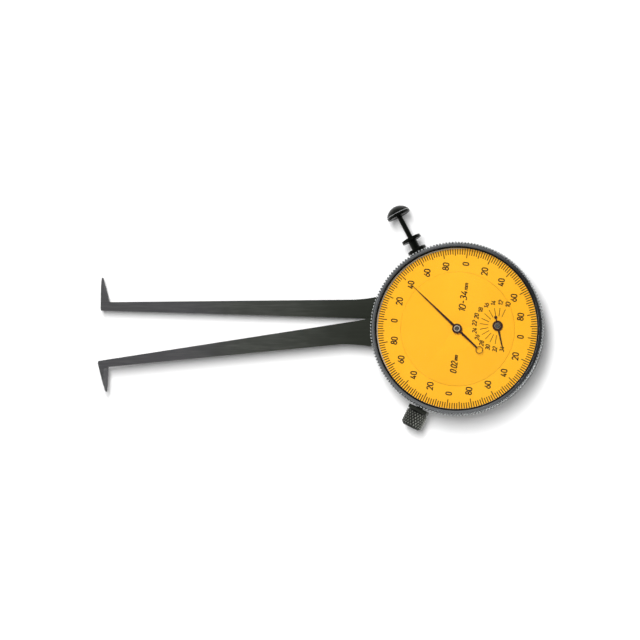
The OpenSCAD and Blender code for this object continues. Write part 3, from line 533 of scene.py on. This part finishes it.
# the point is filed finer and the ring is bored wider than on the solid
hand_way = Vector(about(1.0, 136.3))
hand_side = Vector((-hand_way.y, hand_way.x))
point_from, point_share = 15, 0.5
ring_at, ring_bore, bore_least, bore_most = -9.2, 0.92, 0.7, 0.9
for point in long_hand.data.vertices:
    along = point.co.xy.dot(hand_way) / MM
    across = point.co.xy.dot(hand_side) / MM
    off = Vector((along - ring_at, across))
    if along > point_from:
        across *= point_share
    elif bore_least < off.length < bore_most:
        along, across = Vector((ring_at, 0.0)) + off.normalized() * ring_bore
    point.co.xy = (hand_way * along + hand_side * across) * MM
eased("short_hand", "small_hand", 0.04, hand_lacquer, hand_lacquer)


def turned(profile, steps, spot=Matrix()):
    """A closed turned form from a loop of (radius, height) in mm. A radius may be a function of the step."""
    form = bmesh.new()
    rings = []
    for radius, height in profile:
        if not callable(radius) and radius < 1e-6:
            rings.append([form.verts.new((0.0, 0.0, height))])
            continue
        ring = []
        for k in range(steps):
            r = radius(k) if callable(radius) else radius
            a = 2 * math.pi * k / steps
            ring.append(form.verts.new((r * math.cos(a), r * math.sin(a), height)))
        rings.append(ring)
    for low, high in zip(rings, rings[1:] + rings[:1]):
        for k in range(steps):
            j = (k + 1) % steps
            if len(low) == 1 and len(high) == 1:
                break
            if len(low) == 1:
                form.faces.new((low[0], high[j], high[k]))
            elif len(high) == 1:
                form.faces.new((low[k], low[j], high[0]))
            else:
                form.faces.new((low[k], low[j], high[j], high[k]))
    bmesh.ops.recalc_face_normals(form, faces=form.faces)
    form.transform(Matrix.Scale(MM, 4) @ spot)
    return form


# the long hand's hub is counterbored round its arbor, the short hand's is faced off flush
hub_steps, arbor_r, neck_r, foot_h = 64, 0.45, 0.94, 0.2
for name, node, body, foot_r, at, bore, finish in (
        ("long_hand_hub", "main_hand_hub", "centre", 1.3, (0.0, 0.0), 0.66, nickel_silver),
        ("short_hand_hub", "small_hand_hub", "counter", 1.2, counter_at, 0.46, bright_steel)):
    low, top = (corner.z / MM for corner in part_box(node))
    hub = [(arbor_r, low), (foot_r, low), (foot_r, low + foot_h), (neck_r, low + foot_h),
           (neck_r, top - 0.1), (0.88, top - 0.03), (0.8, top), (bore, top), (bore, top - 0.05),
           (arbor_r, top - 0.16)]
    form = turned(hub, hub_steps, Matrix.Translation((*at, 0.0)))
    # faces in the bore round the arbor take the hand's dark lacquer, as painted shade
    for face in form.faces:
        middle = face.calc_center_median() / MM
        if middle.z > top - 0.2 and (middle.xy - Vector(at)).length < bore + 0.005:
            face.material_index = 1
    placed(made(name, form, finish, hand_lacquer), body, (node,))


# Bezel. A ring turned from brass and plated in satin black nickel, with a straight knurl round its side.
# It snaps over the case rim on a wire ring, and turns to set the zero.
bezel_low, bezel_top = (corner.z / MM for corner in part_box("bezel_ring"))
grip_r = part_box("bezel_ring")[1].x / MM - 0.004
bezel_steps, bore_r, wall_r, ridge_r, lip_r, lip_z = 240, 24.5, 25.4, 24.44, 23.95, 13.7
clip_r, clip_low, clip_top = 24.85, 11.0, 11.4
wire_r, wire_z = 24.86, 9.8


def from_axis(tree, place):
    """Distance of a place from the Z axis."""
    flat = add(tree, "ShaderNodeVectorMath", {
        0: place, 1: (1.0, 1.0, 0.0)}, operation="MULTIPLY").outputs[0]
    return add(tree, "ShaderNodeVectorMath", {0: flat}, operation="LENGTH").outputs["Value"]


# Satin black nickel: mid grey with a cool cast, fine turning rings round the dial axis
black_nickel, tree = material("satin_black_nickel")
place = add(tree, "ShaderNodeTexCoord").outputs["Object"]
# turning rings are near 0.04 mm apart; they are drawn 0.25 mm apart so that they show
ring = add(tree, "ShaderNodeTexNoise", {
    "W": from_axis(tree, place), "Scale": 1 / (0.25 * MM), "Detail": 2.0}, noise_dimensions="1D").outputs[0]
cloud = add(tree, "ShaderNodeTexNoise", {
    "Vector": place, "Scale": 1 / (3 * MM), "Detail": 3.0}).outputs[0]
tone = add(tree, "ShaderNodeMix", {
    0: ring, 6: lin("#6A6C6E"), 7: lin("#838587")}, data_type="RGBA").outputs[2]
dull = add(tree, "ShaderNodeMapRange", {"Value": cloud, "To Min": 0.12, "To Max": 0.22}).outputs[0]
bump = add(tree, "ShaderNodeBump", {
    "Height": ring, "Strength": 0.15, "Distance": 0.02 * MM}).outputs[0]
shader = add(tree, "ShaderNodeBsdfPrincipled", {
    "Base Color": tone, "Metallic": 1.0, "Roughness": dull, "Normal": bump})
add(tree, "ShaderNodeOutputMaterial", {"Surface": shader.outputs[0]})

# Matt near black inside the lip, painted shade for the lip's dark inner edge, with a slightly greyer bloom
# in places
lip_painted_shade = mottled("lip_painted_shade_black", 2, 3.0, ("#0B0B0B", "#1A1B1A"), (0.6, 0.8),
                     {"Specular IOR Level": 0.12})

profile = [(bore_r, bezel_low), (wall_r, bezel_low), (wall_r, 13.9), (25.3, 14.17), (24.48, 14.66),
           (ridge_r, bezel_top), (24.4, 14.68), (23.99, 14.2), (lip_r, 14.08), (lip_r, 13.72),
           (bore_r, lip_z), (bore_r, clip_top), (clip_r, clip_top), (clip_r, clip_low), (bore_r, clip_low),
           (bore_r, wire_z + 0.4), (24.8, wire_z + 0.2), (wire_r, wire_z), (24.8, wire_z - 0.2),
           (bore_r, wire_z - 0.4)]
form = turned(profile, bezel_steps)
# the lip's inner faces take the near black, as painted shade
for face in form.faces:
    middle = face.calc_center_median() / MM
    if middle.z > lip_z - 0.1 and middle.xy.length < ridge_r - 0.01:
        face.material_index = 1
placed(made("bezel_body", form, black_nickel, lip_painted_shade), "bezel", ("bezel_ring",))

# Black nickel on the knurl, held near black as painted shade: darkest in its grooves, a little greyer on the
# crests and sides except under patches of dirt, and rubbed to bare pale nickel at the upper ends of the
# teeth
knurl_nickel_painted_shade, tree = material("black_nickel_knurl_painted_shade")
place = add(tree, "ShaderNodeTexCoord").outputs["Object"]
# painted shade: the tone darkens from the crests down into the grooves
crest = add(tree, "ShaderNodeMapRange", {
    "Value": from_axis(tree, place), "From Min": (grip_r - 0.4) * MM,
    "From Max": (grip_r - 0.05) * MM}).outputs[0]
dirt = add(tree, "ShaderNodeTexNoise", {
    "Vector": place, "Scale": 1 / (1.5 * MM), "Detail": 3.0}).outputs[0]
free = add(tree, "ShaderNodeMapRange", {"Value": dirt, "To Min": 0.4, "To Max": 1.1}).outputs[0]
rub = add(tree, "ShaderNodeMath", {0: crest, 1: free}, operation="MULTIPLY", use_clamp=True).outputs[0]
tone = add(tree, "ShaderNodeMix", {
    0: rub, 6: lin("#1A1C1D"), 7: lin("#383B3C")}, data_type="RGBA").outputs[2]
rise = add(tree, "ShaderNodeSeparateXYZ", {0: place}).outputs[2]
bare = add(tree, "ShaderNodeMapRange", {
    "Value": rise, "From Min": 13.72 * MM, "From Max": 13.76 * MM}).outputs[0]
tone = add(tree, "ShaderNodeMix", {0: bare, 6: tone, 7: lin("#C4C7C7")}, data_type="RGBA").outputs[2]
dull = add(tree, "ShaderNodeMapRange", {"Value": dirt, "To Min": 0.2, "To Max": 0.34}).outputs[0]
shader = add(tree, "ShaderNodeBsdfPrincipled", {"Base Color": tone, "Metallic": 1.0, "Roughness": dull})
add(tree, "ShaderNodeOutputMaterial", {"Surface": shader.outputs[0]})

# Tree of the knurl: a round-backed tooth with tapered ends, repeated round a ring
knurl, ask = geometry_tree("straight_knurl", {
    "Teeth": "Int", "Ring radius": "Float", "Tooth depth": "Float", "Tooth width": "Float",
    "Tooth length": "Float", "Height": "Float", "Plating": "Material"})
pitch = add(knurl, "ShaderNodeMath", {0: 2 * math.pi, 1: ask["Teeth"]}, operation="DIVIDE").outputs[0]
count = add(knurl, "GeometryNodeInputIndex").outputs[0]
turn = add(knurl, "ShaderNodeMath", {0: count, 1: pitch}, operation="MULTIPLY").outputs[0]
spoke = add(knurl, "ShaderNodeCombineXYZ", {0: ask["Ring radius"], 2: ask["Height"]}).outputs[0]
spot = add(knurl, "ShaderNodeVectorRotate", {
    "Vector": spoke, "Angle": turn}, rotation_type="Z_AXIS").outputs[0]
tooth = add(knurl, "GeometryNodeMeshCylinder", {
    "Vertices": 10, "Radius": 1.0, "Depth": 0.91}, fill_type="NGON").outputs[0]
normal = add(knurl, "GeometryNodeInputNormal").outputs[0]
up = add(knurl, "ShaderNodeSeparateXYZ", {0: normal}).outputs[2]
ends = add(knurl, "ShaderNodeMath", {0: up}, operation="ABSOLUTE").outputs[0]
ends = add(knurl, "ShaderNodeMath", {0: ends, 1: 0.9}, operation="GREATER_THAN").outputs[0]
raised = add(knurl, "GeometryNodeExtrudeMesh", {
    "Mesh": tooth, "Selection": ends, "Offset Scale": 0.045}, mode="FACES").outputs
tooth = add(knurl, "GeometryNodeScaleElements", {
    "Geometry": raised["Mesh"], "Selection": raised["Top"], "Scale": 0.45}, domain="FACE").outputs[0]
size = add(knurl, "ShaderNodeCombineXYZ", {
    0: ask["Tooth depth"], 1: ask["Tooth width"], 2: ask["Tooth length"]}).outputs[0]
ringed(knurl, ask["Teeth"], spot, turn, tooth, size, ask["Plating"])

tooth_depth = 0.42
bezel_knurl = grown("bezel_knurl", knurl, {
    "Teeth": 170, "Ring radius": (grip_r - tooth_depth) * MM, "Tooth depth": tooth_depth * MM,
    "Tooth width": 0.31 * MM, "Tooth length": 4.85 * MM, "Height": 11.6 * MM, "Plating": knurl_nickel_painted_shade})
placed(bezel_knurl, "bezel")


# Crystal and spacer. The crystal is moulded clear acrylic, a flat disc with a sloping edge, snapped into
# the bezel. The spacer under its rim is turned steel with a foot of nickel silver, which shows as a pale
# line round the dial.
spacer_low, spacer_top = (corner.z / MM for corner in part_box("spacer_ring"))
spacer_in, spacer_out, foot_in = 24.0, 24.45, 23.55
profile = [(foot_in, spacer_low), (spacer_out, spacer_low), (spacer_out, spacer_top),
           (spacer_in, spacer_top), (spacer_in, spacer_low + 0.3), (23.94, spacer_low + 0.16),
           (foot_in, spacer_low + 0.05)]
form = turned(profile, bezel_steps)
for face in form.faces:
    middle = face.calc_center_median() / MM
    if middle.z > spacer_low + 0.12:
        face.material_index = 1
placed(made("spacer_with_foot", form, nickel_silver, bright_steel), "bezel", ("spacer_ring",))

# Acrylic: clear, with hairline rubbing that softens reflections in places
clear_acrylic, tree = material("moulded_clear_acrylic")
place = add(tree, "ShaderNodeTexCoord").outputs["Object"]
rubs = add(tree, "ShaderNodeTexNoise", {
    "Vector": place, "Scale": 1 / (6 * MM), "Detail": 5.0}).outputs[0]
dull = add(tree, "ShaderNodeMapRange", {
    "Value": rubs, "From Min": 0.4, "To Min": 0.0, "To Max": 0.03}).outputs[0]
clear = add(tree, "ShaderNodeBsdfPrincipled", {
    "Base Color": lin("#FDFEFC"), "Roughness": dull, "IOR": 1.49, "Transmission Weight": 1.0})
# shadow rays go straight through, so that the dial is lit as under thin acrylic
through = add(tree, "ShaderNodeBsdfTransparent")
shadow = add(tree, "ShaderNodeLightPath").outputs["Is Shadow Ray"]
shader = add(tree, "ShaderNodeMixShader", {0: shadow, 1: clear.outputs[0], 2: through.outputs[0]})
add(tree, "ShaderNodeOutputMaterial", {"Surface": shader.outputs[0]})

crystal_under, crystal_top, crystal_r, seat_z = 14.4, 15.4, 24.45, 13.0
profile = [(0.0, crystal_under), (16.6, crystal_under), (16.9, 14.36), (23.05, seat_z),
           (crystal_r, seat_z), (crystal_r, lip_z), (23.9, lip_z), (23.9, 14.0), (23.8, 14.06),
           (23.6, 14.11), (17.4, 15.32), (17.15, 15.36), (16.9, 15.39), (16.6, crystal_top),
           (0.0, crystal_top)]
dome = made("crystal_dome", turned(profile, bezel_steps), clear_acrylic)
placed(dome, "bezel", ("crystal",), smooth=20)


# Push button. A domed head on a thin rod slides in a bush with a finger flange; a round nut locks the bush.
# All are turned from free-cutting steel and blacked in hot oil.
button_dir, push_z, button_steps = 118.0, 5.9, 96
button_in, button_r, dome_h, rim_h, rod_r = 38.4, 3.6, 2.196, 1.0, 0.75


def outward(direction, z):
    """Turns local Z away from the dial axis, at a height."""
    return (Matrix.Translation((0.0, 0.0, z)) @ Matrix.Rotation(math.radians(direction), 4, "Z")
            @ Matrix.Rotation(math.radians(90), 4, "Y"))


# Oil-blacked steel: black with a grey-green sheen and slight handling marks
oil_black = mottled("oil_blacked_steel", 1.8, 4.0, ("#0E100D", "#20221E"), (0.24, 0.44),
                    {"Metallic": 0.8})

push_axis = outward(button_dir, push_z)
head = [(0.0, 1.2), (rod_r, 1.2), (rod_r, 0.0), (1.5, 0.0), (1.6, 0.12), (3.0, 0.12), (3.1, 0.0),
        (3.45, 0.0), (3.58, 0.1), (button_r, 0.25), (button_r, rim_h - 0.1),
        (button_r - 0.14, rim_h + 0.04)]
ball_r = (button_r ** 2 + dome_h ** 2) / (2 * dome_h)
dome_steps = 12
for k in range(dome_steps + 1):
    a = math.asin((button_r - 0.16) / ball_r) * (1 - k / dome_steps)
    head.append((ball_r * math.sin(a), rim_h + dome_h - ball_r + ball_r * math.cos(a)))
form = turned([(r, button_in + rise) for r, rise in head], button_steps, push_axis)
# the edge between rim and dome is rubbed to bright steel, and the bright band is also a painted highlight
out_way = Vector((*about(1.0, button_dir), 0.0))
for face in form.faces:
    rise = (face.calc_center_median() / MM).dot(out_way) - button_in
    if rim_h - 0.1 < rise < rim_h + 0.04:
        face.material_index = 1
placed(made("button_cap", form, oil_black, bright_steel), "button", ("button_head",))
finished(oil_black, "button_rod")

bush_r, bush_bore, flange_low, flange_top = 1.3, 0.78, 30.1, 31.1
bush = [(bush_bore, 22.3), (bush_r, 22.3), (bush_r, flange_low), (2.9, flange_low), (3.0, 30.2),
        (3.0, 31.0), (2.9, flange_top), (1.35, flange_top), (1.2, 31.0), (bush_bore, 31.0)]
form = turned(bush, button_steps, push_axis)
placed(made("bush_with_flange", form, oil_black), "case", ("button_bush",))
nut_low, nut_top = 25.5, 27.4
nut = [(bush_r, nut_low), (2.3, nut_low), (2.3, 26.5), (2.82, 26.5), (2.9, 26.58), (2.9, 27.25),
       (2.75, nut_top), (bush_r, nut_top)]
form = turned(nut, button_steps, push_axis)
placed(made("bush_nut", form, oil_black), "case", ("button_nut",))


# Bezel lock. A knob with a diamond knurl pulls a flat clamp shoe in against the bezel's side.
# The knob is turned from steel and blacked, the shoe is a bent strip in the same finish as the arms.
lock_dir, lock_z = 243.5, 5.4
knob_in, knob_r, knob_l, screw_in, screw_r, collar_r = 27.25, 3.3, 5.2, 22.7, 1.0, 2.9
starts, start_steps, lead, cut = 22, 6, 1.5, 0.38

# Blacked knurl: black in the grooves, rubbed to grey on the points
rubbed_knurl, tree = material("rubbed_black_knurl")
place = add(tree, "ShaderNodeTexCoord").outputs["Object"]
on_axis = add(tree, "ShaderNodeMapping", {
    "Vector": place, "Location": (0.0, 0.0, lock_z * MM), "Rotation": outward(lock_dir, 0.0).to_euler()},
    vector_type="TEXTURE").outputs[0]
crest = add(tree, "ShaderNodeMapRange", {
    "Value": from_axis(tree, on_axis), "From Min": (knob_r - 0.75 * cut) * MM,
    "From Max": (knob_r - 0.1 * cut) * MM}).outputs[0]
spots = add(tree, "ShaderNodeTexNoise", {
    "Vector": place, "Scale": 1 / (1.2 * MM), "Detail": 3.0}).outputs[0]
free = add(tree, "ShaderNodeMapRange", {"Value": spots, "To Min": 0.3, "To Max": 1.1}).outputs[0]
rub = add(tree, "ShaderNodeMath", {0: crest, 1: free}, operation="MULTIPLY", use_clamp=True).outputs[0]
tone = add(tree, "ShaderNodeMix", {
    0: rub, 6: lin("#20221E"), 7: lin("#A6A8A0")}, data_type="RGBA").outputs[2]
dull = add(tree, "ShaderNodeMapRange", {"Value": rub, "To Min": 0.5, "To Max": 0.34}).outputs[0]
shader = add(tree, "ShaderNodeBsdfPrincipled", {"Base Color": tone, "Metallic": 0.4, "Roughness": dull})
add(tree, "ShaderNodeOutputMaterial", {"Surface": shader.outputs[0]})


def diamond(row):
    """Radius round one row of the diamond knurl."""
    def radius(k):
        left = ((k + row) / start_steps) % 1
        right = ((k - row) / start_steps) % 1
        crest = min(1 - abs(2 * left - 1), 1 - abs(2 * right - 1))
        return knob_r - cut * (1 - crest)
    return radius


knurl_rows = 15
knurled = [(diamond(i), knob_in + 0.55 + i * lead / start_steps) for i in range(knurl_rows + 1)]
top = knob_in + knob_l - 0.002
knob = [(0.0, screw_in), (0.8, screw_in), (screw_r, 22.9), (screw_r, knob_in), (2.75, knob_in),
        (collar_r, knob_in + 0.12), (collar_r, knob_in + 0.48), *knurled, (2.55, top - 0.14), (2.4, top),
        (1.5, top), (1.3, top - 0.12), (0.0, top - 0.16)]
form = turned(knob, starts * start_steps, outward(lock_dir, lock_z))
placed(made("lock_knob_knurled", form, rubbed_knurl), "knob", ("lock_knob",), smooth=14)
eased("lock_shoe", "clamp_shoe", 0.15, black_oxide, handled_edge_painted_shade)


# Studio. The gauge lies on white paper under a soft lamp nearly overhead. A low strip lightens the head's
# shadow, and a long one on the right puts glints on the knurl. The white room is dim near the floor,
# towards the ceiling and on the right. The camera looks down through a long lens.


def shown(tree):
    """1 for rays that show a thing to the eye, straight, mirrored or through the crystal, and else 0."""
    path = add(tree, "ShaderNodeLightPath").outputs
    straight = add(tree, "ShaderNodeMath", {
        0: path["Is Camera Ray"], 1: path["Is Glossy Ray"]}, operation="ADD").outputs[0]
    return add(tree, "ShaderNodeMath", {
        0: straight, 1: path["Is Transmission Ray"]}, operation="ADD", use_clamp=True).outputs[0]


# White paper: matt, with a faint glow of its own to the eye, so that it comes out white
paper, tree = material("white_paper")
glow = add(tree, "ShaderNodeMath", {0: shown(tree), 1: 0.04}, operation="MULTIPLY").outputs[0]
matt = add(tree, "ShaderNodeBsdfDiffuse", {"Color": lin("#EFEFEF")})
light = add(tree, "ShaderNodeEmission", {"Strength": glow})
both = add(tree, "ShaderNodeAddShader", {0: matt.outputs[0], 1: light.outputs[0]})
add(tree, "ShaderNodeOutputMaterial", {"Surface": both.outputs[0]})
sheet = bmesh.new()
bmesh.ops.create_grid(sheet, x_segments=1, y_segments=1, size=3.0)
sheet.transform(Matrix.Translation((0.0, 0.0, -0.05 * MM)))
made("paper_floor", sheet, paper)

room = bpy.data.worlds.new("studio_room")
bpy.context.scene.world = room
room.use_nodes = True
room.cycles.sampling_method = "NONE"
tree = room.node_tree
tree.nodes.clear()
around = add(tree, "ShaderNodeTexCoord").outputs["Generated"]
height = add(tree, "ShaderNodeSeparateXYZ", {0: around}).outputs[2]
ceiling = add(tree, "ShaderNodeMapRange", {
    "Value": height, "From Min": 0.3, "From Max": 0.85, "To Min": 1.0, "To Max": 0.16}).outputs[0]
skirting = add(tree, "ShaderNodeMapRange", {
    "Value": height, "From Min": 0.12, "From Max": 0.35, "To Min": 0.06, "To Max": 1.0}).outputs[0]
leftward = add(tree, "ShaderNodeVectorMath", {
    0: around, 1: (-1.0, -0.12, 0.0)}, operation="DOT_PRODUCT").outputs["Value"]
walls = add(tree, "ShaderNodeMapRange", {
    "Value": leftward, "From Min": -0.75, "From Max": -0.15, "To Min": 0.15, "To Max": 1.0}).outputs[0]
walls = add(tree, "ShaderNodeMath", {0: walls, 1: skirting}, operation="MULTIPLY").outputs[0]
# behind the gauge the camera sees the walls evenly white
camera_ray = add(tree, "ShaderNodeLightPath").outputs["Is Camera Ray"]
walls = add(tree, "ShaderNodeMath", {0: walls, 1: camera_ray}, operation="MAXIMUM").outputs[0]
walls = add(tree, "ShaderNodeMath", {0: ceiling, 1: walls}, operation="MULTIPLY").outputs[0]
level = add(tree, "ShaderNodeMapRange", {"Value": shown(tree), "To Min": 0.65, "To Max": 1.0}).outputs[0]
level = add(tree, "ShaderNodeMath", {0: level, 1: walls}, operation="MULTIPLY").outputs[0]
white = add(tree, "ShaderNodeBackground", {"Color": lin("#FFFFFF"), "Strength": level})
add(tree, "ShaderNodeOutputWorld", {"Surface": white.outputs[0]})

for name, spot, target, wide, long, power, mirrored in (
        ("overhead_lamp", (-0.1, 0.24, 1.0), (-0.04, 0.0, 0.0), 0.3, 0.55, 12.6, False),
        ("low_fill", (0.068, -0.076, 0.0055), (0.0, 0.0, 0.0055), 0.2, 0.009, 0.24, False),
        ("side_strip", (0.56, -0.12, 0.09), (0.0, 0.0, 0.012), 0.8, 0.03, 0.65, True)):
    lamp = bpy.data.lights.new(name, "AREA")
    lamp.shape = "RECTANGLE"
    lamp.size = wide
    lamp.size_y = long
    lamp.energy = power
    stand = linked(name, lamp)
    stand.location = spot
    stand.rotation_euler = (Vector(target) - Vector(spot)).to_track_quat("-Z", "Y").to_euler()
    # light reaches the dial by shadow rays alone, because refracted ones would count the lamps twice
    stand.visible_transmission = False
    # only the side strip is mirrored; as with a polariser, the others leave no image in the crystal
    stand.visible_glossy = mirrored

picture, pixel = 640, 0.2994 * MM
sensor, far, roll = 36.0, 1.6, math.radians(0.33)
aim = Vector((-41.82 * MM, 2.94 * MM, 4.7 * MM))
lean = Vector((0.105, -0.05, 1.0)).normalized()
eye = bpy.data.cameras.new("long_lens")
eye.sensor_width = sensor
eye.lens = sensor * far / (picture * pixel)
eye.clip_end = 20.0
camera = linked("long_lens", eye)
side = Vector((-math.sin(roll), math.cos(roll), 0.0)).cross(lean).normalized()
looking = Matrix((side, lean.cross(side), lean)).transposed().to_4x4()
camera.matrix_world = Matrix.Translation(aim + lean * far) @ looking
bpy.context.scene.camera = camera
bpy.context.scene.view_settings.view_transform = "Standard"
